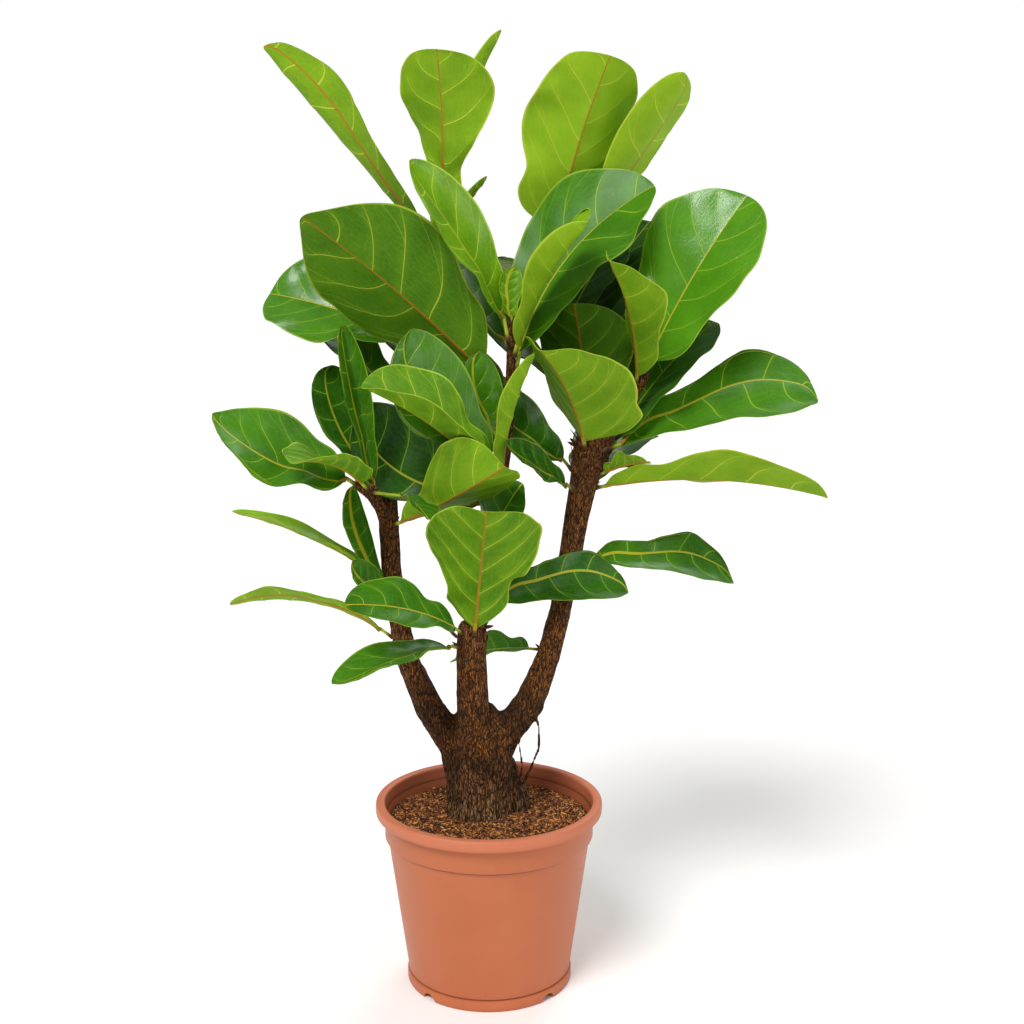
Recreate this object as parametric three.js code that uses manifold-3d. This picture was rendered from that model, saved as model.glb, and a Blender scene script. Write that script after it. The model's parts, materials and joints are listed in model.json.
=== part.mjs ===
// A fiddle leaf fig, Ficus lyrata, growing in a moulded nursery pot. Millimetres, +Z up.
// The origin is the middle of the pot's base, on the surface that the pot stands on.
import * as THREE from "three";
import { mergeVertices } from "three/addons/utils/BufferGeometryUtils.js";
import Module from "manifold-3d";

const wasm = await Module();
wasm.setup();

// Pot.
const RIM_RADIUS = 150;
const RIM_ROLL = 16;
const RIM_SQUARENESS = 0.6;
const POT_HEIGHT = 248;
const MOUTH_RADIUS = 137;
const BAND_RADIUS = 138;
const LEDGE_HEIGHT = 200;
const BODY_TOP_RADIUS = 134;
const FOOT_RADIUS = 110;
const FOOT_HEIGHT = 15;
const WALL = 4;
const FLOOR = 12;
const POT_SIDES = 36;
const NOTCHES = 4;
const NOTCH_WIDTH = 22;
const NOTCH_HEIGHT = 9;
const DRAIN_RADIUS = 7;

// Soil.
const SOIL_HEIGHT = 220;
const MOUND = 4;
const SOIL_GRAIN = 1.8;

// Leaves, and the air kept between pieces that touch.
const CLEARANCE = 0.35;
const BLADE_THICKNESS = 0.9;
const RIB_DEPTH = 1.4;
const SOCKET_DEPTH = 2.5;
const COLUMNS = [-1, -0.5, 0, 0.5, 1];
const STATIONS = [0.07, 0.17, 0.3, 0.44, 0.58, 0.72, 0.85, 0.95];
const LIMB_SIDES = 8;
const SWING_STEP = 2;
const SWING_STEPS = 10;

// Woody parts. Each is a list of points on its axis, x, y, z, with the radius there.
const LIMBS = {
  stump: [[-10, 18, 118, 32], [-13, 18, 214, 47], [-14, 18, 250, 45], [-13, 18, 290, 46],
    [-14, 12, 338, 42], [-16, 8, 358, 32]],
  buttress: [[36, 26, 140, 14], [42, 28, 200, 18], [36, 28, 240, 18], [18, 26, 285, 18]],
  left: [[-30, 15, 255, 26], [-44, 14, 315, 23], [-78, 10, 368, 19.5], [-107, 0, 440, 15],
    [-118, 0, 504, 13], [-125, 0, 557, 13.5], [-128, 5, 607, 14], [-129, 15, 659, 12.5],
    [-121, 30, 722, 11.5], [-101, 40, 798, 10], [-77, 45, 887, 8.5], [-60, 45, 963, 7.5],
    [-53, 45, 998, 6]],
  side: [[-128, 8, 605, 9], [-137, -10, 640, 8], [-146, -25, 658, 7.5], [-162, -35, 672, 6]],
  middle: [[-15, 5, 255, 28], [-19, -5, 329, 24], [-21, -15, 387, 22], [-22, -20, 442, 21],
    [-21, -20, 485, 20]],
  front: [[-18, -18, 470, 12], [-11, -15, 534, 9], [2, -15, 593, 7.5], [13, -20, 652, 7.5],
    [17, -20, 692, 6.5]],
  centre: [[-3, -14, 565, 7], [14, 2, 645, 7.5], [24, 15, 720, 7.5], [28, 20, 774, 7.5],
    [30, 20, 844, 7], [25, 20, 873, 5.5]],
  right: [[0, 15, 285, 25], [20, 13, 332, 23], [54, 15, 375, 20.5], [79, 20, 438, 16.5],
    [94, 25, 498, 15], [104, 30, 550, 15.5], [115, 30, 623, 17], [124, 30, 670, 19.5],
    [132, 30, 700, 26], [135, 30, 722, 24]],
  outer: [[140, 30, 700, 9.5], [171, 20, 755, 8.5], [190, 10, 791, 7.5], [200, 5, 809, 6]],
  top: [[132, 42, 700, 11], [113, 70, 769, 9.5], [93, 85, 847, 8.5], [83, 90, 924, 7.5],
    [80, 90, 976, 6]],
  root_outer: [[60, 8, 366, 3], [66, 2, 345, 2.2], [66, 4, 315, 2], [56, 8, 288, 2],
    [46, 16, 262, 2.4]],
  root_inner: [[42, 4, 352, 3], [40, -4, 322, 2], [44, 0, 292, 2], [40, 14, 262, 2.4]],
};

// Leaf colours by age.
const AGES = {
  old: { color: 0x2f6524, roughness: 0.38 },
  grown: { color: 0x44802b, roughness: 0.4 },
  young: { color: 0x86ad3a, roughness: 0.45 },
};

// Leaves, from the ones that show most to the ones that are hidden. A row is: the limb that
// bears it, how far along that limb, the compass angle and rise of the line from root to tip,
// that line's length, the blade's width, the roll about the line, the age, and then what
// differs from an ordinary leaf. Angles are degrees, and arch and sweep are parts of the length.
const ORDINARY = {
  petiole: 18, arch: 0.06, sweep: 0, fold: 12, curl: 10, wave: 4, waves: 2, twist: 0,
  shoulder: 1.4, blunt: 0.55,
};
const LEAVES = [
  // The big leaves of the front and the sides.
  ["middle", 0.98, 280, 60, 205, 150, -10, "young", { petiole: 10, wave: 9, shoulder: 1.7, blunt: 0.5 }],
  ["centre", 0.70, 205, 40, 345, 185, 55, "grown", { petiole: 45, wave: 7, shoulder: 1.15, blunt: 0.85 }],
  ["centre", 0.80, 5, 55, 290, 160, 50, "grown", { petiole: 25, sweep: -0.1, wave: 8 }],
  ["top", 0.98, 325, 70, 245, 152, -35, "young", { wave: 9, shoulder: 1.3, blunt: 0.35 }],
  ["outer", 0.98, 5, 60, 255, 165, 50, "grown", { wave: 9, shoulder: 1.4, blunt: 0.5 }],
  ["left", 0.98, 270, 75, 225, 130, -20, "young", { wave: 7, shoulder: 2.5, blunt: 0.5 }],
  ["left", 0.95, 185, 50, 325, 110, -20, "young", { twist: 50, fold: 26, petiole: 12, arch: 0 }],
  ["right", 0.98, 245, 45, 195, 180, -20, "young", { fold: 22, petiole: 12, shoulder: 0.9 }],
  ["front", 0.98, 195, 58, 210, 140, -80, "grown", { wave: 6, fold: 6, arch: 0 }],
  ["front", 0.90, 215, 35, 235, 120, -35, "young", { fold: 44, curl: 0 }],
  ["front", 0.75, 170, 35, 215, 145, -65, "old", { wave: 5, fold: 6, arch: -0.03 }],
  ["left", 0.49, 322, 30, 215, 130, -50, "young", { fold: 30, shoulder: 2.1, arch: -0.04 }],
  ["middle", 0.98, 215, 20, 180, 80, -40, "grown", { arch: 0.1 }],
  ["middle", 0.90, 215, -5, 185, 105, -10, "grown", { arch: 0.1 }],
  ["front", 0.20, 8, 12, 190, 95, 25, "old", { arch: 0.1, wave: 6 }],
  ["side", 0.98, 190, 28, 200, 150, -50, "grown", { wave: 8, shoulder: 1.1, blunt: 0.85 }],
  ["right", 0.98, 350, 15, 270, 160, 30, "grown", { wave: 7, shoulder: 1.9, blunt: 0.45 }],
  ["right", 0.87, 345, 0, 295, 125, -25, "young", { petiole: 12, wave: 6 }],
  ["top", 0.75, 350, 60, 320, 125, -40, "young", { petiole: 60, wave: 5, shoulder: 2.1, blunt: 0.5 }],
  ["centre", 0.92, 200, 60, 255, 125, -60, "young", { petiole: 30, arch: 0.03, sweep: 0.1 }],
  ["outer", 0.87, 235, 65, 200, 110, -10, "young", { fold: 20, petiole: 12, shoulder: 1.7, wave: 7 }],
  ["centre", 0.86, 305, 48, 225, 130, 15, "young", { fold: 34, curl: 0, shoulder: 1.8 }],
  ["side", 0.70, 170, 80, 215, 75, -60, "grown", { fold: 50, curl: 0 }],
  ["left", 0.36, 180, 85, 160, 60, -60, "grown", { fold: 50 }],
  ["left", 0.80, 170, 22, 210, 150, -35, "grown", { wave: 7 }],
  ["side", 0.85, 225, 20, 150, 100, 20, "young", { arch: 0.1 }],
  ["left", 0.40, 180, 25, 213, 85, -5, "young", { fold: 15 }],
  ["left", 0.30, 180, 12, 215, 80, 5, "young", { arch: 0.12, fold: 20 }],
  ["right", 0.65, 15, -8, 225, 115, 28, "grown", { arch: 0.05, shoulder: 2.0, blunt: 0.4, wave: 7 }],
  ["right", 0.38, 145, -15, 150, 70, -20, "grown", {}],
  ["centre", 0.48, 200, 75, 130, 70, -100, "grown", {}],
  ["front", 0.93, 305, 70, 180, 75, 25, "young", { fold: 30, shoulder: 1.2 }],
  // The darker leaves that fill the crown.
  ["top", 0.20, 45, 65, 200, 150, 10, "old", {}],
  ["right", 0.97, 20, 45, 220, 150, 25, "old", {}],
  ["centre", 0.88, 130, 50, 230, 130, -30, "old", {}],
  ["top", 0.45, 30, 55, 220, 130, 20, "old", {}],
  ["top", 0.08, 250, 78, 185, 135, 0, "old", {}],
  ["side", 0.48, 140, 68, 200, 95, 0, "old", {}],
  ["left", 0.70, 145, 40, 160, 110, -15, "old", {}],
  ["left", 0.94, 35, 78, 300, 92, -45, "young", { fold: 36, shoulder: 1.2 }],
  // Small new leaves, and small old ones that never grew out.
  ["left", 0.98, 20, 60, 90, 25, -35, "young", { petiole: 12, wave: 1 }],
  ["centre", 0.98, 60, 70, 75, 40, 10, "young", { petiole: 12, wave: 2 }],
  ["front", 0.35, 330, 60, 145, 75, 40, "grown", { twist: 40, wave: 6 }],
  ["side", 0.80, 325, -20, 105, 55, 0, "grown", { petiole: 50, arch: 0.12 }],
  ["left", 0.50, 105, 50, 120, 80, 35, "old", {}],
  ["right", 0.91, 320, 15, 85, 45, -30, "young", { petiole: 12 }],
  ["right", 0.90, 160, 48, 165, 100, -20, "old", {}],
  ["right", 0.85, 205, 22, 130, 75, -30, "old", {}],
  ["left", 0.37, 215, 55, 90, 55, -60, "grown", {}],
  ["top", 0.57, 35, 50, 150, 110, 10, "old", {}],
  ["top", 0.32, 180, 55, 150, 105, -20, "old", {}],
  // The back of the crown.
  ["left", 0.75, 100, 30, 230, 140, 0, "old", {}],
  ["top", 0.55, 60, 25, 250, 150, 0, "grown", {}],
  ["right", 0.85, 65, 10, 250, 145, 0, "old", {}],
  ["centre", 0.45, 110, 40, 235, 140, 0, "old", {}],
  ["left", 0.60, 35, 32, 250, 160, 0, "old", {}],
  ["top", 0.85, 105, 0, 210, 130, 0, "grown", {}],
];

const radians = THREE.MathUtils.degToRad;

function toSolid(geometry) {
  const bare = new THREE.BufferGeometry();
  bare.setAttribute("position", geometry.attributes.position.clone());
  if (geometry.index) bare.setIndex(geometry.index.clone());
  const welded = mergeVertices(bare, 1e-4);
  const vertProperties = new Float32Array(welded.attributes.position.array);
  const triVerts = new Uint32Array(welded.index.array);
  return new wasm.Manifold(new wasm.Mesh({ numProp: 3, vertProperties, triVerts }));
}

function toGeometry(solid) {
  const { vertProperties, triVerts } = solid.getMesh();
  const geometry = new THREE.BufferGeometry();
  geometry.setAttribute("position", new THREE.BufferAttribute(vertProperties, 3));
  geometry.setIndex(new THREE.BufferAttribute(triVerts, 1));
  return geometry;
}

// Closed surface through rings of points, each ring counter-clockwise as seen from the last
// one. A ring of one point closes an end, and an end with a full ring is closed flat. Quads
// from column flipFrom on are split along their other diagonal.
function skin(rings, flipFrom = Infinity) {
  const points = rings.flat();
  const firsts = [];
  let count = 0;
  for (const ring of rings) {
    firsts.push(count);
    count += ring.length;
  }
  const columns = Math.max(...rings.map((ring) => ring.length));
  const id = (row, column) => firsts[row] + (column % rings[row].length);
  const faces = [];
  for (let row = 0; row + 1 < rings.length; row += 1) {
    for (let i = 0; i < columns; i += 1) {
      const [a, b] = [id(row, i), id(row, i + 1)];
      const [d, c] = [id(row + 1, i), id(row + 1, i + 1)];
      const straight = i < flipFrom;
      const split = straight ? [[a, b, c], [a, c, d]] : [[a, b, d], [b, c, d]];
      faces.push(...split.filter(([p, q, r]) => p !== q && q !== r && r !== p));
    }
  }
  const last = rings.length - 1;
  for (let i = 1; i + 1 < columns; i += 1) {
    if (rings[0].length > 1) faces.push([id(0, 0), id(0, i + 1), id(0, i)]);
    if (rings[last].length > 1) faces.push([id(last, 0), id(last, i), id(last, i + 1)]);
  }
  const geometry = new THREE.BufferGeometry().setFromPoints(points);
  geometry.setIndex(faces.flat());
  return geometry;
}

// Ring of points round a centre, in the plane of side and up.
function roundRing(centre, side, up, radius, sides) {
  return Array.from({ length: sides }, (_, i) => {
    const angle = Math.PI * (1 - (2 * i + 1) / sides);
    return centre.clone()
      .addScaledVector(side, radius * Math.cos(angle))
      .addScaledVector(up, radius * Math.sin(angle));
  });
}

function limbCurve(name) {
  return new THREE.CatmullRomCurve3(LIMBS[name].map(([x, y, z]) => new THREE.Vector3(x, y, z)));
}

function limbRadius(name, t) {
  const place = t * (LIMBS[name].length - 1);
  const low = Math.min(Math.floor(place), LIMBS[name].length - 2);
  return THREE.MathUtils.lerp(LIMBS[name][low][3], LIMBS[name][low + 1][3], place - low);
}

// A limb is a round bar that follows its curve, with a domed end.
function limb(name, swell = 0) {
  const curve = limbCurve(name);
  const steps = LIMBS[name].length - 1;
  const side = new THREE.Vector3(1, 0, 0);
  const rings = [];
  for (let i = 0; i <= steps; i += 1) {
    const tangent = curve.getTangent(i / steps);
    const up = new THREE.Vector3().crossVectors(side, tangent).normalize();
    const across = new THREE.Vector3().crossVectors(tangent, up);
    const radius = limbRadius(name, i / steps) + swell;
    const centre = curve.getPoint(i / steps);
    if (i === 0) centre.addScaledVector(tangent, -swell);
    rings.push(roundRing(centre, across, up, radius, LIMB_SIDES));
    if (i === steps) {
      const neck = centre.clone().addScaledVector(tangent, 0.4 * radius);
      rings.push(roundRing(neck, across, up, 0.75 * radius, LIMB_SIDES));
      rings.push([centre.clone().addScaledVector(tangent, 0.55 * radius)]);
    }
  }
  return toSolid(skin(rings));
}

// Half-width of the fiddle-shaped blade as a part of its full half-width, from base to tip.
// A high shoulder is widest near the tip, and a low blunt gives a square end.
function outline(s, { shoulder, blunt }) {
  const body = Math.sin(Math.PI * s ** shoulder) ** blunt;
  const ears = 0.2 * Math.exp(-(((s - 0.12) / 0.09) ** 2));
  const waist = 0.07 * Math.exp(-(((s - 0.33) / 0.1) ** 2));
  return body + ears - waist;
}

// Axes of a leaf: forward along the line from root to tip, side to its right, and up out of
// its upper face.
function leafAxes({ azimuth, rise, roll }) {
  const [a, r] = [radians(azimuth), radians(rise)];
  const level = new THREE.Vector3(Math.cos(a), Math.sin(a), 0);
  const forward = level.clone().multiplyScalar(Math.cos(r)).setZ(Math.sin(r));
  const side = new THREE.Vector3(level.y, -level.x, 0).applyAxisAngle(forward, radians(roll));
  const up = new THREE.Vector3().crossVectors(side, forward);
  return { forward, side, up };
}

// Point and axes of the midrib at u, from 0 at the root to 1 at the tip.
function midrib(leaf, u) {
  const { forward, side, up } = leafAxes(leaf);
  const bow = 4 * u * (1 - u);
  const slope = 4 * (1 - 2 * u);
  const point = leaf.root.clone()
    .addScaledVector(forward, leaf.length * u)
    .addScaledVector(up, leaf.length * leaf.arch * bow)
    .addScaledVector(side, leaf.length * leaf.sweep * bow);
  const tangent = forward.clone()
    .addScaledVector(up, leaf.arch * slope)
    .addScaledVector(side, leaf.sweep * slope)
    .normalize();
  const across = side.clone().addScaledVector(tangent, -side.dot(tangent)).normalize()
    .applyAxisAngle(tangent, radians(leaf.twist * u));
  return { point, tangent, across, up: new THREE.Vector3().crossVectors(across, tangent) };
}

// Cross-section of the blade at s, 0 at its base and 1 at its tip: five points over the upper
// face from left to right, and five back under the lower face, where the midrib stands out.
function bladeRing(leaf, s, swell) {
  const start = leaf.petiole / leaf.length;
  const { point, across, up } = midrib(leaf, start + (1 - start) * s);
  const reach = Math.max(outline(s, leaf) * leaf.width / 2, leaf.stalk) + swell;
  const half = BLADE_THICKNESS / 2 + swell;
  const fold = radians(leaf.fold);
  const curl = radians(leaf.curl) || 1e-4;
  const [upper, lower] = [[], []];
  for (const t of COLUMNS) {
    const angle = fold + curl * Math.abs(t);
    const x = Math.sign(t) * reach * (Math.sin(angle) - Math.sin(fold)) / curl;
    const ripple = leaf.wave * Math.sin(2 * Math.PI * leaf.waves * s + 1.3 * t) * t * t;
    const z = reach * (Math.cos(fold) - Math.cos(angle)) / curl + ripple * Math.sin(Math.PI * s);
    const tilt = t === 0 ? 0 : Math.sign(t) * angle;
    const offset = t === 0 ? half / Math.cos(fold) : half;
    const middle = point.clone().addScaledVector(across, x).addScaledVector(up, z);
    const normal = up.clone().multiplyScalar(Math.cos(tilt)).addScaledVector(across, -Math.sin(tilt));
    upper.push(middle.clone().addScaledVector(normal, offset));
    lower.unshift(middle.clone().addScaledVector(normal, -offset - (t === 0 ? RIB_DEPTH : 0)));
  }
  return [...upper, ...lower];
}

function petioleRing(leaf, u, radius, sides) {
  const { point, across, up } = midrib(leaf, u);
  return roundRing(point, across, up, radius, sides);
}

function leafSkin(leaf, swell = 0) {
  const start = leaf.petiole / leaf.length;
  const sides = 2 * COLUMNS.length;
  const rings = [0, start].map((u) => petioleRing(leaf, u, leaf.stalk + swell, sides));
  rings.push(...STATIONS.map((s) => bladeRing(leaf, s, swell)));
  rings.push([midrib(leaf, 1 + swell / leaf.length).point]);
  return skin(rings, COLUMNS.length);
}

// The part of a leaf's clearance that has to stay off the wood: all but the seated end.
function leafPastSocket(leaf) {
  const start = leaf.petiole / leaf.length;
  const sides = 2 * COLUMNS.length;
  const rings = [petioleRing(leaf, start, leaf.stalk + CLEARANCE, sides)];
  rings.push(...STATIONS.map((s) => bladeRing(leaf, s, CLEARANCE)));
  rings.push([midrib(leaf, 1 + CLEARANCE / leaf.length).point]);
  return skin(rings, COLUMNS.length);
}

// Plain hole in the wood that a petiole stands in.
function socket(leaf) {
  const sides = 5;
  const radius = (leaf.stalk + CLEARANCE) / Math.cos(Math.PI / sides);
  const ends = [-CLEARANCE / leaf.length, leaf.petiole / leaf.length];
  return toSolid(skin(ends.map((u) => petioleRing(leaf, u, radius, sides))));
}

// Root of a leaf: SOCKET_DEPTH inside the limb's bark, on the side that the leaf leaves from.
function seat(leaf) {
  const curve = limbCurve(leaf.limb);
  const t = curve.getUtoTmapping(leaf.along);
  const { forward, up } = leafAxes(leaf);
  const leaving = forward.clone().addScaledVector(up, 4 * leaf.arch);
  const axis = curve.getTangent(t);
  const outward = leaving.addScaledVector(axis, -leaving.dot(axis)).normalize();
  return curve.getPoint(t).addScaledVector(outward, limbRadius(leaf.limb, t) - SOCKET_DEPTH);
}

function overlaps(a, b) {
  return !a.intersect(b).isEmpty();
}

// Ways to swing a leaf: its angle, its rise and its roll, each less, kept or more.
const SWINGS = [-1, 0, 1].flatMap((turn) => [-1, 0, 1].flatMap((lift) => [-1, 0, 1].map((roll) => (
  { turn, lift, roll }
)))).filter(({ turn, lift, roll }) => turn || lift || roll);

// A leaf that would touch the wood or an earlier leaf is swung about its root, in growing
// steps, until it is clear.
function settle(leaf, wood, placed) {
  const { azimuth, rise, roll } = leaf;
  for (let step = 0; step <= SWING_STEPS; step += 1) {
    for (const swing of step === 0 ? [{ turn: 0, lift: 0, roll: 0 }] : SWINGS) {
      leaf.azimuth = azimuth + step * SWING_STEP * swing.turn;
      leaf.rise = rise + step * SWING_STEP * swing.lift;
      leaf.roll = roll + 2 * step * SWING_STEP * swing.roll;
      leaf.root = seat(leaf);
      const keepClear = toSolid(leafSkin(leaf, CLEARANCE));
      const clear = placed.every((other) => !overlaps(keepClear, other))
        && !overlaps(toSolid(leafPastSocket(leaf)), wood);
      if (clear) return;
    }
  }
  throw new Error(`${leaf.name} finds no clear place`);
}

function lathe(profile, sides) {
  const points = profile.map(([r, z]) => new THREE.Vector2(r, z));
  return toSolid(new THREE.LatheGeometry(points, sides).rotateX(Math.PI / 2));
}

// The pot is turned in one piece, with a rolled rim over a straight band, and its foot is
// notched for the water from the drain holes.
function makePot() {
  const [lipRadius, lipHeight] = [(RIM_RADIUS - MOUTH_RADIUS) / 2, RIM_ROLL / 2];
  const squared = (value) => Math.sign(value) * Math.abs(value) ** RIM_SQUARENESS;
  const lip = [-100, -40, 20, 75, 130, 180].map((degrees) => [
    RIM_RADIUS - lipRadius + lipRadius * squared(Math.cos(radians(degrees))),
    POT_HEIGHT - lipHeight + lipHeight * squared(Math.sin(radians(degrees))),
  ]);
  const pot = lathe([
    [0, 0], [FOOT_RADIUS - 2, 0], [FOOT_RADIUS, 2], [FOOT_RADIUS, FOOT_HEIGHT - 3],
    [FOOT_RADIUS - 2, FOOT_HEIGHT], [BODY_TOP_RADIUS, LEDGE_HEIGHT - 2],
    [BAND_RADIUS - 1, LEDGE_HEIGHT + 2], [BAND_RADIUS, POT_HEIGHT - RIM_ROLL], ...lip,
    [MOUTH_RADIUS - 2, POT_HEIGHT - RIM_ROLL], [BODY_TOP_RADIUS - WALL, LEDGE_HEIGHT - 2],
    [FOOT_RADIUS - 2 - WALL, FLOOR], [0, FLOOR],
  ], POT_SIDES);
  const arch = new THREE.Shape();
  arch.moveTo(-NOTCH_WIDTH / 2, -1);
  arch.lineTo(NOTCH_WIDTH / 2, -1);
  arch.absellipse(0, 0, NOTCH_WIDTH / 2, NOTCH_HEIGHT, 0, Math.PI, false);
  const inner = FOOT_RADIUS - 3 * DRAIN_RADIUS;
  const bore = { depth: 4 * DRAIN_RADIUS, bevelEnabled: false, curveSegments: 8 };
  const channel = new THREE.ExtrudeGeometry(arch, bore)
    .rotateX(Math.PI / 2)
    .rotateZ(Math.PI / 2)
    .translate(inner, 0, 0);
  const drain = new THREE.CylinderGeometry(DRAIN_RADIUS, DRAIN_RADIUS, 3 * FLOOR, 12)
    .rotateX(Math.PI / 2)
    .translate(inner, 0, 0);
  const cuts = Array.from({ length: NOTCHES }, (_, i) => {
    const turn = (2 * Math.PI * (i + 0.5)) / NOTCHES;
    return [channel, drain].map((shape) => toSolid(shape.clone().rotateZ(turn)));
  });
  return cuts.flat().reduce((solid, cut) => solid.subtract(cut), pot);
}

// Potting mix, mounded at the trunk, with a lumpy top and plain holes for the wood.
function makeSoil(buried) {
  const wallRadius = (z) => {
    const up = (z - FLOOR) / (LEDGE_HEIGHT - 2 - FLOOR);
    return THREE.MathUtils.lerp(FOOT_RADIUS - 2 - WALL, BODY_TOP_RADIUS - WALL, up) - CLEARANCE;
  };
  const foot = FLOOR + CLEARANCE;
  const bend = [wallRadius(LEDGE_HEIGHT - 2), LEDGE_HEIGHT - 2];
  const mouth = [MOUTH_RADIUS - 2 - 2 * CLEARANCE, POT_HEIGHT - RIM_ROLL];
  const risen = (SOIL_HEIGHT - bend[1]) / (mouth[1] - bend[1]);
  const edge = THREE.MathUtils.lerp(bend[0], mouth[0], risen);
  const tops = [1, 0.86, 0.72, 0.58, 0.44].map((part) => [
    part * edge,
    SOIL_HEIGHT + MOUND * (1 - part),
  ]);
  const profile = [[0, foot], [wallRadius(foot), foot], bend, ...tops, [0, SOIL_HEIGHT + MOUND]];
  const points = profile.map(([r, z]) => new THREE.Vector2(r, z));
  const turned = new THREE.LatheGeometry(points, POT_SIDES).rotateX(Math.PI / 2);
  const place = turned.attributes.position;
  for (let i = 0; i < place.count; i += 1) {
    const [x, y, z] = [place.getX(i), place.getY(i), place.getZ(i)];
    const lump = Math.sin(0.21 * x + 1.7 * Math.sin(0.13 * y)) * Math.sin(0.17 * y + 2);
    if (z > SOIL_HEIGHT - 1) place.setZ(i, z + SOIL_GRAIN * lump);
  }
  return buried.reduce((solid, wood) => solid.subtract(wood), toSolid(turned));
}

function addPiece(group, name, geometry, finish) {
  const material = new THREE.MeshStandardMaterial({ metalness: 0, ...finish });
  const piece = new THREE.Mesh(geometry, material);
  piece.name = name;
  piece.geometry.computeVertexNormals();
  group.add(piece);
}

const plant = new THREE.Group();
const wood = Object.keys(LIMBS).map((name) => limb(name)).reduce((tree, part) => tree.add(part));
const swollen = ["stump", "buttress", "root_outer", "root_inner"].map((name) => limb(name, CLEARANCE));
addPiece(plant, "pot", toGeometry(makePot()), { color: 0xc07353, roughness: 0.6 });
addPiece(plant, "soil", toGeometry(makeSoil(swollen)), { color: 0x4a2f20, roughness: 0.95 });

const placed = [];
const sockets = [];
const numbers = {};
for (const [bearer, along, azimuth, rise, length, width, roll, age, differences] of LEAVES) {
  numbers[bearer] = (numbers[bearer] ?? 0) + 1;
  const name = `leaf_${bearer}_${String(numbers[bearer]).padStart(2, "0")}`;
  const stalk = 1.2 + width / 90;
  const measures = { along, azimuth, rise, length, width, roll, stalk };
  const leaf = { ...ORDINARY, name, limb: bearer, ...measures, ...differences };
  settle(leaf, wood, placed);
  placed.push(toSolid(leafSkin(leaf)));
  sockets.push(socket(leaf));
  addPiece(plant, name, leafSkin(leaf), AGES[age]);
}
const trunk = sockets.reduce((solid, hole) => solid.subtract(hole), wood);
addPiece(plant, "trunk", toGeometry(trunk), { color: 0x5b4433, roughness: 0.85 });

export default plant;
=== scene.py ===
import json
import math
import random

import bmesh
import bpy
import numpy as np
from mathutils import Euler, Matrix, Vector, noise
from mathutils.bvhtree import BVHTree


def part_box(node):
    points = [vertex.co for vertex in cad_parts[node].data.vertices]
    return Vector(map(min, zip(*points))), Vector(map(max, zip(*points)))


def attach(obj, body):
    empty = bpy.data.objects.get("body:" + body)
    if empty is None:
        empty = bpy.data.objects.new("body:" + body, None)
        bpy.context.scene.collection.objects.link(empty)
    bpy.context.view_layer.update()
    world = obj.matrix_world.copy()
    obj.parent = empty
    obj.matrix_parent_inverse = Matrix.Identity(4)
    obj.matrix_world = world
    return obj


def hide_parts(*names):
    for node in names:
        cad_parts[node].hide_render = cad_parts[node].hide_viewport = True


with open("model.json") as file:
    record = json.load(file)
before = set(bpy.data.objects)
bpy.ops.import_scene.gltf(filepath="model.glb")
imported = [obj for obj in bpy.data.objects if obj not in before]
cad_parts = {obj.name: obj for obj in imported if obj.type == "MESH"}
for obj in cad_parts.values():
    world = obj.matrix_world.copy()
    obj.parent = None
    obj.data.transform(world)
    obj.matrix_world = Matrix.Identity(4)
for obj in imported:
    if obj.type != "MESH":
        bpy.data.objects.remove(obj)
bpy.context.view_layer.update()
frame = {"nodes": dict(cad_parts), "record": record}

# All sizes are metres unless a name says otherwise.
MM = 0.001

# Leaves. The CAD blade is a loft of rings of ten points, five over each face, and its rings lie
# at these parts of its length. The fine blade has more rows, and columns at these parts of the
# way from midrib to margin.
COLUMNS = 5
RING = 2 * COLUMNS
STATIONS = [0.0, 0.07, 0.17, 0.3, 0.44, 0.58, 0.72, 0.85, 0.95, 1.0]
ROWS = 88
ACROSS = [0, 0.025, 0.055, 0.11, 0.19, 0.28, 0.38, 0.48, 0.58, 0.68, 0.78, 0.87, 0.94, 0.985, 1]
BLADE = 0.75 * MM
QUILTING = {"leaf_old": 1.0 * MM, "leaf_grown": 0.9 * MM, "leaf_young": 0.6 * MM}
MARGIN_RIPPLE = 2.4 * MM
BIG_HALF_WIDTH = 75 * MM
RIB_HEIGHT = 2.0 * MM
RIB_HALF_WIDTH = 2.1 * MM
VEIN_PAIRS = 5.4
STALK_SIDES = 12
# How thick a stalk is along its way from the wood to the blade, for a thickness of 1 there.
STALK_SWELL = {0: 1.35, 0.12: 1.3, 0.3: 1.08, 0.55: 0.95, 0.8: 0.95, 1: 1.0}

# Wood, and the heights where its bark starts to turn grey, dark or green and where it has done.
BARK_VOXEL = 2.2 * MM
BARK_RELIEF = 1.6 * MM
GREY_FOOT = (0.32, 0.22)
DARK_FORK = (0.44, 0.36)
GREEN_SHOOTS = (0.75, 1.05)
# Dry scales. Their places are looked for along rays to the wood from this far off.
HUSK_LENGTH = (6 * MM, 12 * MM)
HUSKS_A_STALK = 3
STALK_PROBE = 25 * MM
KNOB_PROBE = 60 * MM
# Limbs were cut back where these leaves grow: how many scales stand there, and how near.
KNOBS = {"leaf_right_01": 26, "leaf_middle_01": 12}
KNOB_REACH = 45 * MM

# Potting mix.
CHIPS = 13000
CHIP_LENGTH = (3.5 * MM, 8.5 * MM)
CHIP_RINGS = 3
CHIP_SIDES = 3
LOWEST_CHIP = 22 * MM

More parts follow.
